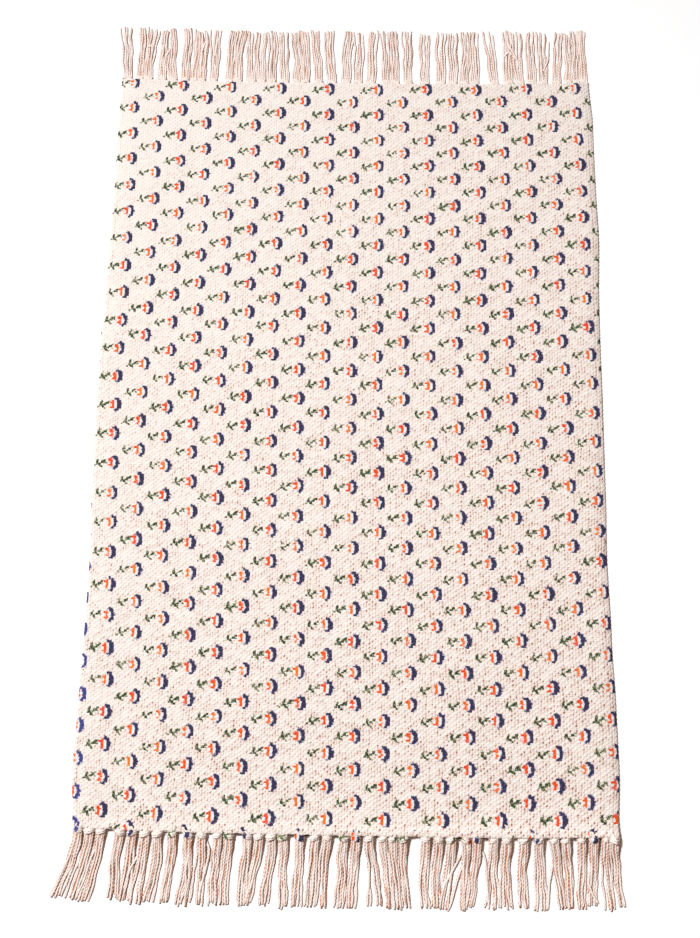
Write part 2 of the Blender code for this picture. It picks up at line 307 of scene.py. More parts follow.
# %% Points of the cloth
RELIEF = 0.00022  # height of an end over the mean surface where it crosses over a pick
WEFT_TURN = 0.0005  # how far a turn of the weft stands out from the selvedge
YARN_DRIFT, DRIFT_BLUR = 0.00045, 2.2  # sideways, and over how many yarns it is alike
YARN_SWELL, SWELL_BLUR = 0.00008, 0.7  # upwards
SELVEDGE_THINNING, SELVEDGE_REACH = 0.72, 0.0060  # share of its thickness that the cloth loses to a selvedge


def blurred_luck(rng, shape, reach):
    """Random numbers with a spread of 1, blurred over so many cells by a Gaussian: a product in the Fourier
    plane."""
    across_waves, along_waves = np.fft.fftfreq(shape[1]), np.fft.fftfreq(shape[0])[:, None]
    blur = np.exp(-2 * (np.pi * reach) ** 2 * (across_waves**2 + along_waves**2))
    field = np.real(np.fft.ifft2(np.fft.fft2(rng.normal(size=shape)) * blur))
    return field / field.std()


cloth_rng = np.random.default_rng(7)
ring = rings[:, None]
from_end = np.minimum(ring, PICKS - ring)
along = (ring / PICKS - 0.5) * CLOTH_LENGTH
left = selvedge(along, -1) - WEFT_TURN * (0.5 + 0.5 * np.cos(np.pi * ring))
right_edge = selvedge(along, 1) + WEFT_TURN * (0.5 - 0.5 * np.cos(np.pi * ring))
full = np.interp(from_end, [*CLOSING_RINGS, 1.0], [*CLOSING_HEIGHTS, 1.0])
shape = (len(rings), len(ring_share))
on_top = np.where(np.arange(shape[1]) <= ENDS, full, 0)
x = left + EDGE_RADIUS + (right_edge - left - 2 * EDGE_RADIUS) * ring_share + EDGE_RADIUS * ring_out * full
x = x + YARN_DRIFT * blurred_luck(cloth_rng, shape, DRIFT_BLUR) * on_top
y = pick_line(x, along) - knot_pull(x) * np.exp(-PULL_FADE * ring)
y = y + YARN_DRIFT * blurred_luck(cloth_rng, shape, DRIFT_BLUR) * on_top * np.clip(from_end, 0, 1)
crossing = RELIEF * np.cos(np.pi * (ring + ring_end))
crossing = crossing + YARN_SWELL * blurred_luck(cloth_rng, shape, SWELL_BLUR)
thin = 1 - SELVEDGE_THINNING * np.exp(-np.minimum(x - left, right_edge - x) / SELVEDGE_REACH)
z = EDGE_RADIUS * (1 + ring_up * full) * thin + ripple(x, y) + crossing * on_top
print("cloth points:", x.size, " highest, mm:", round(z.max() / MM, 2))

# %% [markdown]
# ## Counts for the weave and the print
#
# The cloth's finish has to follow its yarns, so each point carries two sets of values. The first counts warp
# ends from the left selvedge, picks from the near end, and millimetres from the nearer selvedge. The second
# is the printer's own grid, and how well the cloth took the ink. The blocks were set down by eye, so the rows
# bow with the picks and the columns drift.

# %% Counts for the weave and the print
# A place along the rug, and the shift of the printed grid there in mm: to the right at the left, middle and
# right of the rug, and towards the near end at the same three.
PRINT_DRIFT = np.array([
    (-452.5, 14, 9, 15, -5.5, 2, -3.5), (-297.5, 12.5, 6.5, 10.5, -4, 3.5, -2),
    (-147.5, 5.5, 1.5, 5.5, -6, 4, -2.5), (2.5, 0.5, -2, 3.5, -5.5, 3, -2.5),
    (152.5, 2, -3.5, 0, -6, 1.5, -4.5), (302.5, 1.5, -2.5, -1, -8, 0, -5),
    (452.5, -0.5, -4.5, -6, -7.5, 0, -6),
])
PRINT_START = (-9.8, 13.7)  # mm from the left selvedge and from the far end to the grid's first sprig
WORN_EDGE, WORN_INK = 0.018, 0.35  # how far in from the near end the print is patchy, and its least ink


def print_place(x, y):
    """Millimetres on the printer's grid, rightwards and towards the near end: the place on the cloth less the
    grid's start and its drift, a parabola through the table's three columns and straight between rows."""
    t = x / CLOTH_WIDTH + 0.5
    weights = [(1 - t) * (1 - 2 * t), 4 * t * (1 - t), t * (2 * t - 1)]
    drift = [np.interp(y / MM, PRINT_DRIFT[:, 0], column) for column in PRINT_DRIFT.T[1:]]
    right_shift = sum(w * d for w, d in zip(weights, drift[:3]))
    near_shift = sum(w * d for w, d in zip(weights, drift[3:]))
    across = (x + CLOTH_WIDTH / 2) / MM - PRINT_START[0] - right_shift
    down = (CLOTH_LENGTH / 2 - y) / MM - PRINT_START[1] - near_shift
    return across, down


def side_by_side(*values):
    """Arrays spread to one shape and stacked as the last axis of a new one."""
    return np.stack(np.broadcast_arrays(*values), -1)


thread = side_by_side(ring_end, ring, np.minimum(x - left, right_edge - x) / MM)
across_print, down_print = print_place(x, y)
near_share = np.clip((y + CLOTH_LENGTH / 2) / WORN_EDGE, 0, 1)
took_ink = np.clip(1.6 * ring_up, 0, 1) * (WORN_INK + (1 - WORN_INK) * near_share)
printed = side_by_side(across_print, down_print, took_ink)
print("millimetres of print across the rug:", round(float(np.ptp(across_print))))

# %% [markdown]
# Faces from the top to the underside close the ring at both ends of the rug. The map for baking unrolls the
# ring: the printed top takes most of it and the plain underside a strip.

# %% The cloth's faces and its bake map
TOP_SHARE, EDGE_SHARE = 0.86, 0.01  # of the map's width, for the top and for each cell of a round selvedge
MAP_MARGIN = 0.004


def end_faces(first, flip):
    """Faces that close an end ring: for each cell underneath one to the cells above it, and one over each
    round selvedge. Those of the last ring are flipped to face outward."""
    cell = np.arange(ENDS // ENDS_PER_BACK_CELL)[:, None]
    first_back = ENDS + 1 + len(arc)
    above = ENDS - ENDS_PER_BACK_CELL * (cell + 1) + np.arange(ENDS_PER_BACK_CELL + 1)
    strips = np.concatenate([above, first_back + cell, first_back + cell + 1], 1)
    right_cap = np.arange(ENDS, first_back + 1)[None]
    left_cap = np.concatenate([np.arange(first_back + len(cell), len(ring_share)), [0]])[None]
    return [(group[:, ::-1] if flip else group) + first for group in (strips, right_cap, left_cap)]


first_caps, last_caps = end_faces(0, False), end_faces((len(rings) - 1) * len(ring_share), True)

selvedge_cells = np.full(len(arc) + 1, EDGE_SHARE)
back_cells = np.full(len(flat_back) - 1, (1 - TOP_SHARE - 2 * selvedge_cells.sum()) / (len(flat_back) - 1))
cells = np.concatenate([np.diff(end_share) * TOP_SHARE, selvedge_cells, back_cells, selvedge_cells])
u_edges = np.concatenate([[0], np.cumsum(cells)])
u, v = cell_corners(u_edges, rings / PICKS)
bake_map = [side_by_side(u, MAP_MARGIN + (1 - 2 * MAP_MARGIN) * v).reshape(-1, 2)]
for caps, v_cap in ((first_caps, MAP_MARGIN / 2), (last_caps, 1 - MAP_MARGIN / 2)):
    bake_map += [side_by_side(u_edges[group % len(ring_share)], v_cap).reshape(-1, 2) for group in caps]
cloth = piece_from(
    "cloth_printed",
    np.stack([x, y, z], -1),
    [tube_faces(*shape), *first_caps, *last_caps],
    {"thread": thread, "print": printed},
    np.concatenate(bake_map),
)
print("cloth faces:", len(cloth.data.polygons))

# %% [markdown]
# ## Shader maths in Python
#
# A finish is a tree of nodes. One small class stands for a number or colour in it: Python's own signs work on
# it, and each adds the Math node that does the same. Any other node comes from the finish's node method:
# settings first, then values or links by socket.

# %% Shader maths in Python
class Field:
    """A number or a colour that varies over a surface."""

    def __init__(self, finish, socket):
        self.finish, self.socket = finish, socket

    def math(self, operation, *others, first=()):
        values = dict(enumerate((*first, self, *others)))
        return self.finish.node("Math", {"operation": operation}, values)

    def __rsub__(self, other):
        return self.math("SUBTRACT", first=(other,))

    __add__ = __radd__ = partialmethod(math, "ADD")
    __sub__ = partialmethod(math, "SUBTRACT")
    __mul__ = partialmethod(math, "MULTIPLY")
    __truediv__ = partialmethod(math, "DIVIDE")
    __pow__ = partialmethod(math, "POWER")
    __abs__ = partialmethod(math, "ABSOLUTE")
    modulo = partialmethod(math, "FLOORED_MODULO")
    floor = partialmethod(math, "FLOOR")
    cosine = partialmethod(math, "COSINE")
    root = partialmethod(math, "SQRT")
    larger = partialmethod(math, "MAXIMUM")
    smaller = partialmethod(math, "MINIMUM")

    def ease(self, start, stop):
        """0 at the start, 1 at the stop, and an S-curve between them."""
        sockets = {"Value": self, "From Min": start, "From Max": stop}
        return self.finish.node("MapRange", {"interpolation_type": "SMOOTHSTEP"}, sockets)

    def parts(self):
        """The three parts of a vector or colour."""
        split = self.finish.node("SeparateXYZ", {}, {"Vector": self})
        return [Field(self.finish, socket) for socket in split.socket.node.outputs]


class Finish:
    """A material made by adding nodes before its Principled shader."""

    def __init__(self, name):
        self.material = bpy.data.materials.new(name)
        self.material.use_nodes = True
        self.tree = self.material.node_tree

    def node(self, kind, settings, sockets, out=0):
        made = self.tree.nodes.new("ShaderNode" + kind)
        for name, value in settings.items():
            setattr(made, name, value)
        self.give(made, sockets)
        return Field(self, made.outputs[out])

    def give(self, node, sockets):
        """Sets the values of a node's sockets, or links them to fields."""
        for name, value in sockets.items():
            if isinstance(value, Field):
                self.tree.links.new(value.socket, node.inputs[name])
            else:
                node.inputs[name].default_value = value

    def surface(self, colour, roughness, specular, **more):
        """What the shader makes of the fields."""
        sockets = {"Base Color": colour, "Roughness": roughness, "Specular IOR Level": specular, **more}
        self.give(self.tree.nodes["Principled BSDF"], sockets)

    def values(self, attribute):
        """The three values that the mesh holds under an attribute's name."""
        return self.node("Attribute", {"attribute_name": attribute}, {}, out="Vector").parts()

    def vector(self, x, y, z=0.0):
        return self.node("CombineXYZ", {}, {"X": x, "Y": y, "Z": z})

    def noise(self, place, scale, detail=0.0, out="Fac"):
        """Soft noise around 0.5 over a place, with that many bumps to a unit of it."""
        sockets = {"Vector": self.vector(*place), "Scale": scale, "Detail": detail}
        return self.node("TexNoise", {}, sockets, out)

    def luck(self, *place):
        """Three even random numbers for each whole place."""
        sockets = {"Vector": self.vector(*place)}
        return self.node("TexWhiteNoise", {"noise_dimensions": "2D"}, sockets, "Color").parts()

    def mix(self, factor, first, second):
        """One colour blended into another."""
        return self.node("Mix", {"data_type": "RGBA"}, {0: factor, 6: first, 7: second}, out=2)

    def bump(self, height, strength, depth):
        """A surface normal from a height between 0 and 1, which stands for a real depth in metres."""
        return self.node("Bump", {}, {"Height": height, "Strength": strength, "Distance": depth})

# %% [markdown]
# ## The weave
#
# In plain weave every end goes over one pick and under the next, and its neighbour does the opposite. So the
# ends show as short floats, set like bricks, each a small round back. The picks lie lower, since the warp is
# the thicker yarn here. What shows is the higher of the two, with a pinhole where four yarns leave a gap. The
# mesh has only one point to a crossing, so this finer relief goes into bump, and into painted shade in the
# colour: the hollows and the pinholes are darkened where shade would fall.

# %% The weave
FLOAT_SLANT = 0.07  # how far a float leans to the right from its near end to its far end, in warp ends
WARP_ROUND, WEFT_ROUND, WEFT_LOW = 1.8, 1.3, 0.08  # how fast a yarn falls to its sides, and the weft's height
HOLE_WIDE, HOLE_LONG, HOLE_SLANT = 0.27, 0.55, 0.2  # a pinhole's painted shade: its half sizes in ends and picks, and its lean


def weave(finish):
    """Height of the yarns, about -0.1 to 1, the beads of the crossings, the pinholes' painted shade, the
    crossing's luck, how far the place is from the crossing's middle, and its distance from the selvedge. A
    float's height is a cosine of the place along it less a square of the distance from its middle line."""
    end, pick, edge = finish.values("thread")
    end_number, pick_number = (end + 0.5).floor(), (pick + 0.5).floor()
    off_end, off_pick = end - end_number, pick - pick_number
    on_float = (pick + end_number + 1).modulo(2.0) - 1
    warp = (on_float * np.pi).cosine() * 0.5 + 0.5 - ((off_end - on_float * FLOAT_SLANT) * WARP_ROUND) ** 2
    weft = WEFT_LOW - ((end + pick_number) * np.pi).cosine() * 0.5 - (off_pick * WEFT_ROUND) ** 2
    gap_end, gap_pick = end.floor(), pick.floor()
    gap_luck = finish.luck(gap_end, gap_pick)
    brick = (gap_end + gap_pick).modulo(2.0) * 0.55 + 0.45
    size = 0.6 + gap_luck[1] * 0.8
    off_gap = (end - gap_end - 0.5, pick - gap_pick - 0.5)
    off_hole = ((off_gap[0] - off_gap[1] * HOLE_SLANT) / HOLE_WIDE) ** 2 + (off_gap[1] / HOLE_LONG) ** 2
    # painted shade: a dark pinhole at every other gap between the crossings, where the yarns shade the floor
    pinhole_shade = (off_hole.root() / size).ease(1.3, 0.2) * brick * gap_luck[0].ease(0.1, 1.2)
    luck = finish.luck(end_number, pick_number)
    bead = (end * np.pi).cosine() * (pick * np.pi).cosine()
    return warp.larger(weft), bead, pinhole_shade, luck, (off_end, off_pick), edge

# %% [markdown]
# ## The printed sprigs
#
# The printer stamps one small sprig, lying on its side, over and over: a dark blue bloom, an orange heart in
# it and a green stalk with leaves. Four blocks give four colours, so each sits a little off its place, and
# the ink is denser on some stamps than on others. The sprig is drawn from ellipses, leaves and straight cuts,
# each a formula that is negative inside and about the distance in millimetres from its edge. In the sprig's
# own measure, p runs to the right from the bloom's middle and q up.

# %% The sprig's blocks
COLUMN_PITCH, ROW_PITCH = 31.6, 17.55  # mm between columns of sprigs, and half of that between those in one
LEAF_REACH = 26.0  # how far a sprig's leaves reach to the left

Oval = namedtuple("Oval", "p q wide high")  # the middle and the half sizes
BLOOM, BLOOM_INSIDE = Oval(-2.2, 0.1, 6.05, 7.8), Oval(-3.9, -0.4, 3.15, 5.8)
CUP, EYE = Oval(-9.4, -0.9, 2.9, 2.6), Oval(-8.7, -0.9, 1.0, 1.2)
PETALS, PETAL_TURN = 4.5, 0.14  # waves of the bloom's edge to half a turn, and where they start

Leaf = namedtuple("Leaf", "p q long wide turn")  # the turn in degrees from lying to the right
LEAVES = [
    Leaf(-14.8, 1.2, 4.7, 1.50, 36),  # below the bloom
    Leaf(-12.4, -0.2, 1.9, 0.60, -22),
    Leaf(-22.0, 0.8, 4.2, 1.45, 71),  # the spray at the stalk's foot
    Leaf(-20.0, -3.0, 4.8, 1.45, -43),
    Leaf(-25.1, -3.4, 3.2, 0.60, 30),
    Leaf(-18.6, -0.8, 3.2, 0.42, 22),
]


def leaf(p, q, shape):
    """Pointed at both ends: the distance from its midrib, plus its half width times the square of the place
    along it, less its half width."""
    turn = np.radians(shape.turn)
    along_leaf = (p - shape.p) * np.cos(turn) + (q - shape.q) * np.sin(turn)
    off_leaf = (q - shape.q) * np.cos(turn) - (p - shape.p) * np.sin(turn)
    return abs(off_leaf) + (along_leaf / shape.long) ** 2 * shape.wide - shape.wide


def oval(p, q, shape):
    """1 on the edge of an ellipse: the root of the two squared shares of its half sizes."""
    return (((p - shape.p) / shape.wide) ** 2 + ((q - shape.q) / shape.high) ** 2).root()


def sprig(finish, across, down):
    """Distances from the edges of the white, the green, the orange and the blue, the stamp's luck, and how
    much the orange has reddened, which grows towards the heart's foot."""
    column = ((across + LEAF_REACH) / COLUMN_PITCH).floor()
    offset = (1 - column.modulo(2.0)) * ROW_PITCH
    row = ((down - offset) / (2 * ROW_PITCH) + 0.5).floor()
    luck = finish.luck(column, row)
    more_luck = finish.luck(column + 40.5, row)
    ragged = finish.noise((across, down), 0.55, 1.0, "Color").parts()
    p = across - column * COLUMN_PITCH + (luck[0] - 0.5) * 1.4 + (ragged[0] - 0.5) * 2.2
    q = offset + row * (2 * ROW_PITCH) - down + (luck[1] - 0.5) * 1.2 + (ragged[1] - 0.5) * 2.2
    inner = oval(p, q, BLOOM_INSIDE)
    petals = abs(((q.math("ARCTAN2", p + 3.4) - PETAL_TURN) * PETALS).cosine()) * 0.5
    outer = (oval(p, q, BLOOM) - 1) * 7 - petals - 0.15
    horns = (abs(q).larger(6.0) - 6.0) * 0.6 - p - 4.8
    blue = outer.larger((1 - inner) * 4).larger(horns)
    heart_edge = p + 4.0 + q**2 * 0.028
    cup = oval(p, q, CUP)
    white = ((inner - 1) * 4).larger(heart_edge * -1).smaller(oval(p, q, EYE) - 1.7)
    q_heart = q + (more_luck[0] - 0.5) * 1.0 + 0.2
    notch = (1.5 - abs(q_heart)).larger(0.0) * (more_luck[1] - 0.3).larger(0.0)
    above = (q_heart - 3.1 - (p + 9.3) * 0.62) * 0.85
    below = (q_heart * -1 - 3.8 - (p + 8.8) * 0.38) * 0.93
    orange = (heart_edge + notch).larger((1 - cup) * 2.4).larger(above.larger(below)).larger(-9.2 - p) - 0.14
    p_leaf = p + (more_luck[2] - 0.5) * 2.0 + (across / 600 + down / 905 - 1) * 0.9
    q_leaf = q + (more_luck[1] - 0.5) * 1.6 + 0.1
    green = leaf(p_leaf, q_leaf, LEAVES[0])
    for shape in LEAVES[1:]:
        green = green.smaller(leaf(p_leaf, q_leaf, shape))
    return (white, green - 0.05, orange, blue), luck[2], p.ease(-6.3, -8.6) * (q * 0.1 + 0.65)

# %% [markdown]
# Ink takes on the backs of the yarns and misses the hollows between them, and a float that is touched at all
# takes it along most of its length, so a mark's edge goes in small steps from float to float. Round it the
# wet ink has bled a little, and inside it the raised parts are rubbed paler. Along the left selvedge the blue
# is brighter, and along the right one the orange turns to crimson, as the printer mixed fresh ink.

# %% Printing on the yarns
WHITE_RESIST = (0.775, 0.780, 0.795, 1.0)
BLUE, BLUE_RUBBED = (0.036, 0.030, 0.072, 1.0), (0.115, 0.115, 0.270, 1.0)
BLUE_FRESH, FRESH_BLUE_EDGE = (0.050, 0.055, 0.200, 1.0), (14.0, 8.0)  # mm on the printer's grid
ORANGE, AMBER = (0.820, 0.072, 0.008, 1.0), (0.870, 0.220, 0.018, 1.0)
CRIMSON, CRIMSON_EDGE = (0.600, 0.025, 0.070, 1.0), (596.0, 602.0)
REDDENED = (0.720, 0.035, 0.020, 1.0)
GREEN, GREEN_RUBBED = (0.028, 0.045, 0.024, 1.0), (0.290, 0.350, 0.180, 1.0)
BLEEDS = [WHITE_RESIST, (0.560, 0.600, 0.270, 1.0), (0.860, 0.500, 0.230, 1.0), (0.400, 0.360, 0.620, 1.0)]
COVERS = (0.75, 1.0, 1.0, 1.0)  # how well the white, the green, the orange and the blue cover
LOOK_BACK = (1.7, 1.3)  # mm back to the middle of a crossing for a whole end and a whole pick
INK_EDGE, BLEED_EDGE, BLEED_SHARE = (0.22, -0.28), (1.1, 0.0), 0.30  # mm over which a mark begins and ends


def inked(finish, ground, height, across, down, steps, strength):
    """The ground with the four blocks printed over it. Steps says how far a place is from the middle of its
    crossing, and the mark is looked up part of the way back to there. A mark's cover is an S-curve over its
    distance, moved inward in the hollows of the weave and by the stamp's luck."""
    marks, stamp, red = sprig(finish, across - steps[0] * LOOK_BACK[0], down + steps[1] * LOOK_BACK[1])
    patchy = finish.noise((across, down), 0.02, 1.0)
    speck = finish.noise((across, down), 0.9, 1.0)
    miss = (0.6 - height).larger(0.0) * 0.8 + (0.5 - patchy) * 0.8 + (stamp - 0.85) * 0.35
    miss = miss + (speck - 0.5) * 1.7
    rub = (height - 0.75) * 0.9 + (speck - 0.5) * 1.4 + (patchy - 0.5) * 0.6
    heat = (speck - 0.5) * 2.4 + (stamp - 0.5) * 0.9 + 0.30
    fire = finish.mix(red, finish.mix(heat.ease(0.0, 1.0), ORANGE, AMBER), REDDENED)
    green = finish.mix((rub + 0.25).ease(0.0, 0.7), GREEN, GREEN_RUBBED)
    orange = finish.mix(across.ease(*CRIMSON_EDGE), fire, CRIMSON)
    rubbed = (rub + 0.1).ease(0.0, 0.7)
    blue = finish.mix(rubbed, finish.mix(across.ease(*FRESH_BLUE_EDGE), BLUE, BLUE_FRESH), BLUE_RUBBED)
    for mark, colour, bleed, cover in zip(marks, (WHITE_RESIST, green, orange, blue), BLEEDS, COVERS):
        ground = finish.mix((mark + miss).ease(*BLEED_EDGE) * strength * BLEED_SHARE, ground, bleed)
        ground = finish.mix((mark + miss).ease(*INK_EDGE) * strength * cover, ground, colour)
    return ground

# %% [markdown]
# ## The printed cotton
#
# The ground is undyed cotton: cream, matt and a little different from yarn to yarn. Painted shade darkens it
# off the backs of the floats, in the hollows of the weave, in reddish pinholes and in a fine furrow: the first
# few warp ends at each selvedge are doubled, which leaves that furrow. The darkening, painted shade and yarn
# grain alike, grows towards the near right corner, where lines and pinholes show more. The print goes on the
# upper side only, and the last 18 mm at the near end took it in patches.

# %% The printed cotton
# The second colour is both the darker grain of some yarns and the painted shade in the hollows of the weave.
COTTON, COTTON_SHADE_AND_GRAIN = (0.850, 0.775, 0.715, 1.0), (0.760, 0.500, 0.400, 1.0)
# painted shade in the pinholes
PINHOLE_SHADE = (0.330, 0.130, 0.090, 1.0)
FURROW_PLACE = 6.0  # mm in from a selvedge
COTTON_BUMP = 0.0007

printed_cotton = Finish("printed_cotton")
height, bead, pinhole_shade, yarn_luck, steps, edge = weave(printed_cotton)
across, down, upper = printed_cotton.values("print")
cloudy = printed_cotton.noise((across, down), 0.035, 2.0)
fibre = printed_cotton.noise((across, down), 0.95, 2.0)
# painted shade and grain grow towards the near right corner, with slow random clouds
shade_and_grain_gain = 0.25 + across * 0.0008 + down * 0.0007 + (cloudy - 0.5) * 1.0
furrow = (1 - abs(edge - FURROW_PLACE)).larger(0.0)
# painted shade off the backs of the floats, in the hollows and in the furrow, plus random grain from yarn to
# yarn and from the fibres
shade_and_grain = (1 - bead) * 0.05 + (0.7 - height).larger(0.0) * 0.22 + (yarn_luck[0] - 0.5) * 0.45
shade_and_grain = shade_and_grain + (fibre - 0.5) * 1.2 + furrow * 0.35
ground = printed_cotton.mix(shade_and_grain * shade_and_grain_gain, COTTON, COTTON_SHADE_AND_GRAIN)
# painted shade: the pinholes darken the ground, more towards the near right
ground = printed_cotton.mix(pinhole_shade * (shade_and_grain_gain * 1.4 - 0.12), ground, PINHOLE_SHADE)
patchy = printed_cotton.noise((across, down), 0.25, 0.0)
took_ink = (patchy - 0.92 - across * 0.0002 + upper * 1.2).ease(0.0, 0.06)
colour = inked(printed_cotton, ground, height, across, down, steps, took_ink)
relief = bead * 0.16 + height * (yarn_luck[1] * 0.22 + 0.14) + fibre * 0.35 - furrow * 0.4
printed_cotton.surface(colour, 0.92, 0.2, Normal=printed_cotton.bump(relief, 1.0, COTTON_BUMP))
cloth.data.materials.append(printed_cotton.material)
print("nodes in the cloth's finish:", len(printed_cotton.tree.nodes))

# %% [markdown]
# ## Two-ply yarn
#
# The tassels are the rug's own warp yarns: soft cotton, almost 3 mm thick, two plies twisted together. The
# section is two round lobes with a groove on each side. Its eight points turn with the plies, so the long
# edges of the mesh run down the lobes and the grooves.

# %% Two-ply yarn
YARN_RADIUS = 0.00150
PLY_TURN = 0.008  # length of one full turn of the plies
SECTION_ANGLES = np.radians(np.arange(-45, 315, 45))
SECTION_RADII = np.tile([0.96, 1.0, 0.96, 0.78], 2)
SECTION_GROOVE = np.tile([0.25, 0.0, 0.25, 1.0], 2)
SIDES = len(SECTION_ANGLES)
CREASE_START, CREASE_REACH = 0.85 * YARN_RADIUS, 0.0005
STRIP_INSET, STRIP_END = (0.04, 0.02), 0.01  # margins of a yarn's strip on the bake map, across and along
UNLIKE = 90  # sets yarns far apart in the noise of their finish


def unit(vectors):
    return vectors / np.maximum(np.linalg.norm(vectors, axis=-1, keepdims=True), 1e-9)


def yarn_surface(paths, radii, upright, start_turns, thick):
    """Points of yarns along paths (yarns, steps, 3), how far each faces down, 0 to 1, and the length run.
    Round a path point lies the section, in the two directions square to the path, turned by the length run so
    far over the length of a full turn, and then pressed flat: heights over the path times a factor."""
    ahead = unit(np.gradient(paths, axis=1))
    sideways = unit(np.cross(upright, ahead))
    over = np.cross(ahead, sideways)
    run = np.cumsum(np.linalg.norm(np.diff(paths, axis=1, prepend=paths[:, :1]), axis=-1), axis=1)
    angles = SECTION_ANGLES + (2 * np.pi * (run / PLY_TURN + start_turns[:, None]))[..., None]
    spoke = np.cos(angles)[..., None] * sideways[:, :, None] + np.sin(angles)[..., None] * over[:, :, None]
    reach = (radii[..., None] * SECTION_RADII)[..., None]
    points = paths[:, :, None] + spoke * reach * np.array([1, 1, thick])
    return points, np.clip(0.5 - 0.5 * spoke[..., 2], 0, 1), run


def yarn_faces(yarns, steps):
    """The wall of every yarn and a face over each of its two ends."""
    start = np.arange(yarns)[:, None] * steps * SIDES
    wall = (tube_faces(steps, SIDES)[None] + start[..., None]).reshape(-1, 4)
    around = np.arange(SIDES)
    return [wall, np.concatenate([start + around[::-1], start + (steps - 1) * SIDES + around])]


def yarn_map(yarns, steps, lanes):
    """Places on the bake map: each yarn is a strip, and the strips stand side by side in a number of
    lanes."""
    per_lane = -(-yarns // lanes)
    lane, place = (number[:, None, None] for number in divmod(np.arange(yarns), per_lane))

    def on_strips(u, v):
        return side_by_side((place + u) / per_lane, (lane + v) / lanes).reshape(-1, 2)

    corners = cell_corners(np.arange(SIDES + 1) / SIDES, np.arange(steps) / (steps - 1))
    wall = on_strips(*(inset + (1 - 2 * inset) * share for inset, share in zip(STRIP_INSET, corners)))
    around = (np.arange(SIDES) + 0.5) / SIDES
    return np.concatenate([wall, on_strips(around[::-1], STRIP_END), on_strips(around, 1 - STRIP_END)])


def creases(points, paths, together):
    """How close a point of a yarn is to the side of another in its tassel, 0 to 1: the falling exponential of
    the squared distance past that side, times how high the other lies, which is 0.6 when the two are
    level."""
    x = points[..., 0].reshape(-1, together, *points.shape[1:3])
    middle = paths.reshape(-1, together, paths.shape[1], 3)
    beside = np.abs(x[:, :, None] - middle[:, None, :, :, None, 0])
    higher = middle[:, None, :, :, 2] - middle[:, :, None, :, 2]
    higher = np.clip(2 * higher / YARN_RADIUS + 0.6, 0, 1)
    higher[:, np.arange(together), np.arange(together)] = 0
    near = np.exp(-((np.maximum(beside - CREASE_START, 0) / CREASE_REACH) ** 2))
    return (near * higher[..., None]).max(2).reshape(points.shape[:3])


def yarn_piece(name, paths, radii, upright, rng, lanes, thick=1.0, together=1, in_tassels=0):
    """One joined piece of yarns with the same number of steps, of which so many lie together in tassels."""
    yarns, steps = paths.shape[:2]
    points, under, run = yarn_surface(paths, radii, upright, rng.random(yarns), thick)
    if in_tassels:
        # painted shade: where a yarn lies beside a higher one, its colour darkens as where it faces down
        crease = creases(points[:in_tassels], paths[:in_tassels], together)
        under[:in_tassels] = np.maximum(under[:in_tassels], 0.5 * crease)
    tint = rng.random(yarns)[:, None, None]
    across, down = print_place(points[..., 0], points[..., 1])
    values = {
        "ply": side_by_side(SECTION_GROOVE, under, tint),
        "lie": side_by_side((run / MM)[..., None], np.arange(SIDES), tint * UNLIKE),
        "print": side_by_side(across, down, points[..., 2] / MM),
    }
    piece = piece_from(name, points, yarn_faces(yarns, steps), values, yarn_map(yarns, steps, lanes))
    print(name, "yarns:", yarns, " faces:", len(piece.data.polygons))
    return piece

# %% [markdown]
# ## The yarns of the tassels
#
# Five warp yarns go into a tassel. They leave the cloth side by side, draw together in the knot, and fan out
# again to their tips. The first, third and fifth lie on the floor. The other two lie on them in the knot, and
# further out sink between them: the height is the root of the square of a yarn's width less the square of the
# distance beside it, times a factor for softness. Each yarn wanders on its own, and its tassel as a whole.

# %% The yarns of the tassels
YARNS = 5
FLOOR_YARNS, TOP_YARNS = np.arange(0, YARNS, 2), np.arange(1, YARNS, 2)
FRINGE_LENGTH, LENGTH_LUCK = 0.075, (0.002, 0.0011)  # how much a whole tassel and a single yarn may differ
ROOT_DEPTH = 0.003  # how far a yarn reaches back into the cloth
YARN_STEPS = 60
PRESSED, SUNK = 0.76, 0.55  # the width of yarns that lie together, and the height of one upon another
LOCK_BEND = 1.25
LOCK_SWAY, SWAY_WAVE = 0.0012, 0.110
SIZE_LUCK, SWELLING, TIP_SIZE = 0.06, 0.07, 0.70  # of a yarn's radius
TIP_LUCK = np.where(np.isin(np.arange(YARNS), TOP_YARNS), 0.16, 0.05)  # how far tips stray, in tassel widths
HELD_REACH, KNOT_RISE, RISE_REACH = 0.020, 0.0006, 0.0035  # how the height falls off on both sides of a knot
# The wandering of a tassel, its yarns and their kinks: how many go apart, the wave's length and its size.
WANDERS = ((1, 0.085, 0.00080), (YARNS, 0.045, 0.00040), (YARNS, 0.014, 0.00008))

# An end of the rug: its way outward along Y, its tassels and single yarns, how high the cloth's edge is held,
# the middle of the knots and the width of the bundle there, how far the tassels stay up after the knot, how
# much the yarns wander, and how thick they are for their width. Lengths in metres.
End = namedtuple("End", "name outward spans strays lift knot bundle raised liveliness thick rng")
near_lift = edge_lift(NEAR_SPANS[:, 0, None, None])
near_rng, far_rng = np.random.default_rng(11), np.random.default_rng(23)
NEAR_END = End("near", -1, NEAR_SPANS, NEAR_STRAYS, near_lift, 0.0026, 0.0096, 0.0012, 1.0, 0.34, near_rng)
FAR_END = End("far", 1, FAR_SPANS, FAR_STRAYS, 0.0, 0.0014, 0.0122, 0.0, 1.1, 0.27, far_rng)


def wander(rng, shape, way, wave, size):
    """Soft sideways wandering along a yarn: two sine waves of its own phase and length, which begin at
    nothing in the knot and grow as a sine over the first part of the way."""
    phase = rng.random((2, *shape, 1)) * 2 * np.pi
    pace = 2 * np.pi * FRINGE_LENGTH / (wave * (0.7 + 0.8 * rng.random((2, *shape, 1))))
    waves = np.sin(pace[0] * way + phase[0]) + 0.5 * np.sin(1.9 * pace[1] * way + phase[1])
    return size * waves * np.sin(np.pi / 2 * np.clip(way * 2.5, 0, 1))


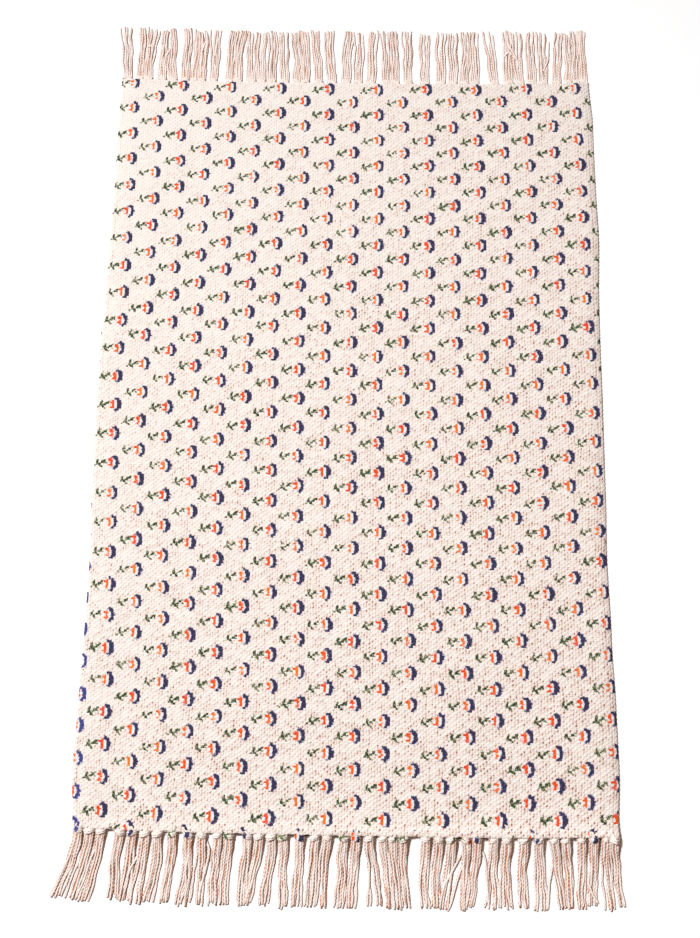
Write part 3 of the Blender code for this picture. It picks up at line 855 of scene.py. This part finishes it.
def sideways_place(end, out, free):
    """X of every yarn, (tassels, yarns, steps). Up to the knot it goes from its share of the root to its
    share of the bundle, and after it from there to its share of the tips by the way to the power of the
    lock's bend."""
    root, root_width, tip, tip_width = (column[:, None, None] for column in end.spans.T)
    rank = ((np.arange(YARNS) + 0.5) / YARNS - 0.5)[:, None]
    tip_rank = rank + end.rng.normal(0, 1, (len(root), YARNS, 1)) * TIP_LUCK[:, None]
    at_root = root + rank * np.minimum(root_width - 0.6 * MM, 12 * MM)
    in_knot = root + rank * np.minimum(end.bundle, root_width)
    at_tip = tip + tip_rank * (tip_width + 0.3 * MM)
    gather = np.clip((out + 0.002) / (end.knot + 0.001), 0, 1)
    gather = gather * gather * (3 - 2 * gather)
    x = at_root + (in_knot - at_root) * gather + (at_tip - in_knot) * free**LOCK_BEND
    x = x + LOCK_SWAY * np.sin(2 * np.pi * x / SWAY_WAVE) * np.sin(np.pi * free)
    for apart, wave, size in WANDERS:
        x = x + wander(end.rng, (len(root), apart), free, wave, size * end.liveliness)
    return x


def smoothed(lines, reach, **edges):
    """A running mean along the last axis over so many places to each side, weighted most in the middle."""
    weights = np.hanning(2 * reach + 3)[1:-1]
    weights = weights / weights.sum()
    padded = np.pad(lines, [(0, 0)] * (lines.ndim - 1) + [(reach, reach)], **edges)
    return sum(weight * padded[..., i : i + lines.shape[-1]] for i, weight in enumerate(weights))


def resting_height(x, thick):
    """Z of every yarn: half its thickness on the floor, and on top the height at which it rests on the
    nearest floor yarn, smoothed along its length."""
    z = np.full(x.shape, YARN_RADIUS * thick)
    beside = np.abs(x[:, TOP_YARNS, None] - x[:, None, FLOOR_YARNS]).min(2)
    width = 2 * YARN_RADIUS * PRESSED
    lift = np.sqrt(np.maximum(width**2 - beside**2, 0)) * thick * SUNK
    z[:, TOP_YARNS] += smoothed(lift, 5, mode="edge")
    return z


def tassel_paths(end):
    """Paths of all the yarns at one end, (tassels, yarns, steps, 3)."""
    root = end.spans[:, 0, None, None]
    length = FRINGE_LENGTH + end.rng.uniform(-LENGTH_LUCK[0], LENGTH_LUCK[0], root.shape)
    length = length + end.rng.normal(0, LENGTH_LUCK[1], (len(root), YARNS, 1))
    out = -ROOT_DEPTH + (length + ROOT_DEPTH) * np.linspace(0, 1, YARN_STEPS)
    x = sideways_place(end, out, np.clip((out - 2 * end.knot) / (length - 2 * end.knot), 0, 1))
    z = resting_height(x, end.thick)
    z = z + (end.raised + end.lift) * np.exp(-(((out - end.knot) / HELD_REACH) ** 2))
    z = z + KNOT_RISE * np.exp(-(((out - end.knot) / RISE_REACH) ** 2))
    y = pick_line(root, end.outward * CLOTH_LENGTH / 2) + end.outward * out
    return np.stack([x, y, z], -1)


def stray_paths(end):
    """Paths of the yarns that have come away, (yarns, steps, 3): through the table's points, smoothed. Each
    comes up between its tassel's yarns, runs on top of them and sinks to the floor."""
    paths = []
    for table in end.strays:
        places = np.array(table, float)
        run = np.concatenate([[0], np.cumsum(np.linalg.norm(np.diff(places, axis=0), axis=1))])
        even = np.linspace(0, run[-1], YARN_STEPS)
        line = np.array([np.interp(even, run, column) for column in places.T])
        across, out = smoothed(line, 7, mode="reflect", reflect_type="odd") * MM
        x = across - CLOTH_WIDTH / 2
        y = pick_line(x, end.outward * CLOTH_LENGTH / 2) + end.outward * out
        t = np.linspace(0, 1, YARN_STEPS)
        z = YARN_RADIUS * end.thick * (1 + 2.0 * np.minimum(5 * t, 1 - t**2))
        paths.append(np.stack([x, y, z], -1))
    return np.array(paths)


def yarn_radii(shape, rng):
    """Radius along each yarn: its own size, a slow swelling, and a taper over the last steps to the cut
    tip."""
    step = np.arange(shape[1])
    swell = 1 + SWELLING * np.sin(step * 0.55 + rng.random((shape[0], 1)) * 6.3)
    taper = np.interp(step, [0, shape[1] - 4, shape[1] - 1], [1, 1, TIP_SIZE])
    return YARN_RADIUS * (1 + rng.normal(0, SIZE_LUCK, (shape[0], 1))) * swell * taper


print("yarns in tassels:", len(NEAR_SPANS) * YARNS, "near,", len(FAR_SPANS) * YARNS, "far")

# %% [markdown]
# Each end is made as two pieces, left and right, so that neither is too heavy and each has room on its own
# bake map. They stand for the solid fringe at that end.

# %% The tassels
UP = np.array([0.0, 0.0, 1.0])
TASSEL_LANES = 4  # on the bake map
tassels = []
for end, node in ((NEAR_END, "fringe_near"), (FAR_END, "fringe_far")):
    paths, strays = tassel_paths(end), stray_paths(end)
    half, on_left = len(paths) // 2, strays[:, 0, 0] < 0
    left_part, right_part = (paths[:half], strays[on_left]), (paths[half:], strays[~on_left])
    for side, (part, more) in (("left", left_part), ("right", right_part)):
        name, in_tassels = f"tassels_{end.name}_{side}", len(part) * YARNS
        part = np.concatenate([part.reshape(-1, YARN_STEPS, 3), more])
        radii = yarn_radii(part.shape[:2], end.rng)
        piece = yarn_piece(name, part, radii, UP, end.rng, TASSEL_LANES, end.thick, YARNS, in_tassels)
        tassels.append(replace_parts(piece, node))

# %% [markdown]
# ## The knots
#
# Each tassel is tied off against the cloth's edge with a knot of its own yarns. What shows of it is two or
# three bands of yarn that come up on one side, pass over the bundle at a slant and go down on the other. They
# are drawn as half ellipses, side by side, higher in the middle of the knot. The near knots rise with the
# cloth's edge.

# %% The knots
Style = namedtuple("Style", "bands half_width height pitch slant arch last")  # lengths in mm
NEAR_KNOT = Style(3, 5.7, 5.3, 2.0, 3.0, 0.8, 1.28)  # the last knot, at the corner, is larger
FAR_KNOT = Style(2, 5.8, 4.2, 2.2, 2.0, 2.4, 1.0)
KNOT_STEPS, KNOT_TURN = 20, (-28, 208)  # degrees from the right side over the top
BAND_RADIUS = 0.00180  # the bands are pulled tight and spread a little
BAND_LUCK, KNOT_LUCK, RIM_FALL = 0.03, 0.05, 0.45  # how uneven they are, and how low at a knot's rims
ALONG = np.array([0.0, 1.0, 0.0])


def knot_paths(end, style):
    """Paths of the bands, (knots * bands, steps, 3): ellipses run through from a little under one side, over
    the top, to the other side, which move outward as they go."""
    root, width = (column[:, None, None] for column in end.spans.T[:2])
    turn = np.radians(np.linspace(*KNOT_TURN, KNOT_STEPS))
    size = 1 + end.rng.normal(0, KNOT_LUCK, root.shape)
    size[-1] = style.last
    half = np.minimum(style.half_width * MM, width / 2 - 0.1 * MM) * size
    tall = style.height * MM * size - BAND_RADIUS + end.lift
    lane = (np.arange(style.bands) - (style.bands - 1) / 2)[:, None]
    lane_luck = end.rng.normal(0, BAND_LUCK, (len(root), style.bands, 1))
    lane_size = np.sqrt(1 - RIM_FALL * (2 * lane / style.bands) ** 2) + lane_luck
    slant = end.rng.choice([-1, 1], root.shape) * style.slant * MM * (0.6 + 0.6 * end.rng.random(root.shape))
    low = BAND_RADIUS * 1.05
    x = root + (half - BAND_RADIUS * 0.5) * lane_size * -np.cos(turn)
    z = np.maximum(low + (tall - low) * lane_size * np.sin(turn), low)
    out = end.knot * size + lane * style.pitch * MM * size - slant * np.cos(turn) / 2
    out = out + style.arch * MM * (np.clip(np.sin(turn), 0, 1) - 0.6)
    y = pick_line(x, end.outward * CLOTH_LENGTH / 2) + end.outward * out
    return np.stack([x, y, z], -1).reshape(-1, KNOT_STEPS, 3)


knots = []
for end, style, node in ((NEAR_END, NEAR_KNOT, "fringe_near"), (FAR_END, FAR_KNOT, "fringe_far")):
    paths = knot_paths(end, style)
    radii = np.full(paths.shape[:2], BAND_RADIUS)
    piece = yarn_piece(f"knots_{end.name}", paths, radii, ALONG, end.rng, lanes=1)
    knots.append(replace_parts(piece, node))

# %% [markdown]
# ## The yarn's finish
#
# Light hardly gets between two yarns that lie together, and what comes back out has bounced from cotton to
# cotton, which leaves a warm brown line. The mesh says where a point faces down, lies beside a higher yarn or
# sits in the groove between the plies, and that shade is painted into the colour there. The near knots also
# caught some of the last row of sprigs.

# %% The yarn's finish
CREAM, PALE_CREAM = (0.915, 0.835, 0.785, 1.0), (0.890, 0.805, 0.750, 1.0)
FAR_CREAM = (0.905, 0.825, 0.780, 1.0)
# painted shade: the first colour where a yarn faces down or lies beside a higher one; the second in the groove
# between the plies, and for random streaks
YARN_SHADE, YARN_STREAK_AND_GROOVE_SHADE = (0.520, 0.165, 0.050, 1.0), (0.740, 0.480, 0.350, 1.0)
PRINTED_HEIGHT = (4.4, 5.4)  # mm over the floor from which a knot takes the print
YARN_BUMP = 0.0003


def yarn_finish(name, yarn_colour, shade, takes_print=False):
    """Cream yarn with painted shade: darker where it faces down or lies beside a higher yarn, and in the
    groove.
    A stretched noise streaks it along, and a longer one lets the painted brown lines of shade come and go."""
    finish = Finish(name)
    groove, under, tint = finish.values("ply")
    length, side, own = finish.values("lie")
    streak = finish.noise((length * 0.25, side * 0.5, own), 1.0, 2.0)
    line = finish.noise((length * 0.06, own * 3, own), 1.0, 1.0).ease(0.38, 0.60)
    # painted shade in the groove between the plies, mixed with random streaks along the yarn
    colour = finish.mix(groove * 0.45 + (streak - 0.5) * 0.6, yarn_colour, YARN_STREAK_AND_GROOVE_SHADE)
    # painted shade: brown where the yarn faces down or lies beside a higher one, in dots along the plies
    dots = (groove * 1.1 + 0.35) * (line * 0.90 + 0.22)
    colour = finish.mix(under.ease(0.12, 0.50) * dots * shade + (tint - 0.5) * 0.05, colour, YARN_SHADE)
    if takes_print:
        across, down, high = finish.values("print")
        colour = inked(finish, colour, 1 - groove * 0.6, across, down, (0, 0), high.ease(*PRINTED_HEIGHT))
    fuzz = finish.noise((length * 1.6, side * 0.8, own), 1.5, 2.0)
    finish.surface(colour, 0.95, 0.15, Normal=finish.bump(fuzz, 0.5, YARN_BUMP))
    return finish


yarn = yarn_finish("cotton_yarn", CREAM, 2.2)
far_yarn = yarn_finish("far_yarn", FAR_CREAM, 1.7)
far_knot = yarn_finish("knotted_yarn", PALE_CREAM, 0.4)
near_knot = yarn_finish("printed_yarn", PALE_CREAM, 0.2, takes_print=True)
for piece, finish in zip((*tassels, *knots), (yarn, yarn, far_yarn, far_yarn, near_knot, far_knot)):
    piece.data.materials.append(finish.material)
print("nodes in the yarn's finish:", len(yarn.tree.nodes))

# %% [markdown]
# ## The floor and the light
#
# The rug lies on a plain white floor. One small lamp stands 1.8 m up at the far left, as strong at any
# distance, so that each tassel and knot throws a short shadow to its right. A weaker, warmer light from all
# round fills the shadows, and a pale backdrop that lights nothing is seen beyond the floor.

# %% The floor and the light
FLOOR_SIZE, FLOOR_DROP = 3.2, 0.0003
FLOOR_COLOUR = (0.97, 0.97, 0.97, 1.0)
KEY_PLACE = Vector((-1.1, 0.85, 1.8))
KEY_AIM = Vector((0.3, -1.2, 0.0))  # so that the near end gets as much light as the far one
KEY_SIZE, KEY_POWER, KEY_COLOUR = 0.34, 14.9, (0.900, 0.965, 1.0)
FILL_COLOUR, FILL_STRENGTH = (1.0, 0.62, 0.44, 1.0), 0.19
BACKDROP_COLOUR = (0.95, 0.95, 0.95, 1.0)

floor_mesh = bpy.data.meshes.new("floor")
corners = np.array([(-1, -1), (1, -1), (1, 1), (-1, 1)]) * FLOOR_SIZE / 2
floor_mesh.from_pydata([(*corner, -FLOOR_DROP) for corner in corners.tolist()], [], [(0, 1, 2, 3)])
floor = placed("floor", floor_mesh)
white_floor = Finish("white_floor")
white_floor.surface(FLOOR_COLOUR, 0.8, 0.2)
floor_mesh.materials.append(white_floor.material)

key = placed("key", bpy.data.lights.new("key", "AREA"))
key.data.size, key.data.energy, key.data.color = KEY_SIZE, KEY_POWER, KEY_COLOUR
key.location = KEY_PLACE
key.rotation_euler = (KEY_PLACE - KEY_AIM).to_track_quat("Z", "Y").to_euler()
key.data.use_nodes = True
nodes, links = key.data.node_tree.nodes, key.data.node_tree.links
even = nodes.new("ShaderNodeLightFalloff")
even.inputs["Strength"].default_value = 1.0
links.new(even.outputs["Constant"], nodes["Emission"].inputs["Strength"])

world = bpy.data.worlds.new("room")
world.use_nodes = True
nodes, links = world.node_tree.nodes, world.node_tree.links
fill, backdrop = nodes["Background"], nodes.new("ShaderNodeBackground")
fill.inputs["Color"].default_value, fill.inputs["Strength"].default_value = FILL_COLOUR, FILL_STRENGTH
backdrop.inputs["Color"].default_value = BACKDROP_COLOUR
room = nodes.new("ShaderNodeMixShader")
links.new(nodes.new("ShaderNodeLightPath").outputs["Is Camera Ray"], room.inputs["Fac"])
links.new(fill.outputs["Background"], room.inputs[1])
links.new(backdrop.outputs["Background"], room.inputs[2])
links.new(room.outputs["Shader"], nodes["World Output"].inputs["Surface"])
bpy.context.scene.world = world
bpy.context.scene.view_settings.view_transform = "Standard"
print("lamp height over the floor, m:", KEY_PLACE.z)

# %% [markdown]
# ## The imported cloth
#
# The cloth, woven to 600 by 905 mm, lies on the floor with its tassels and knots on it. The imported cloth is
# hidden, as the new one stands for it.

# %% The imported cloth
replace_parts(cloth, "cloth")
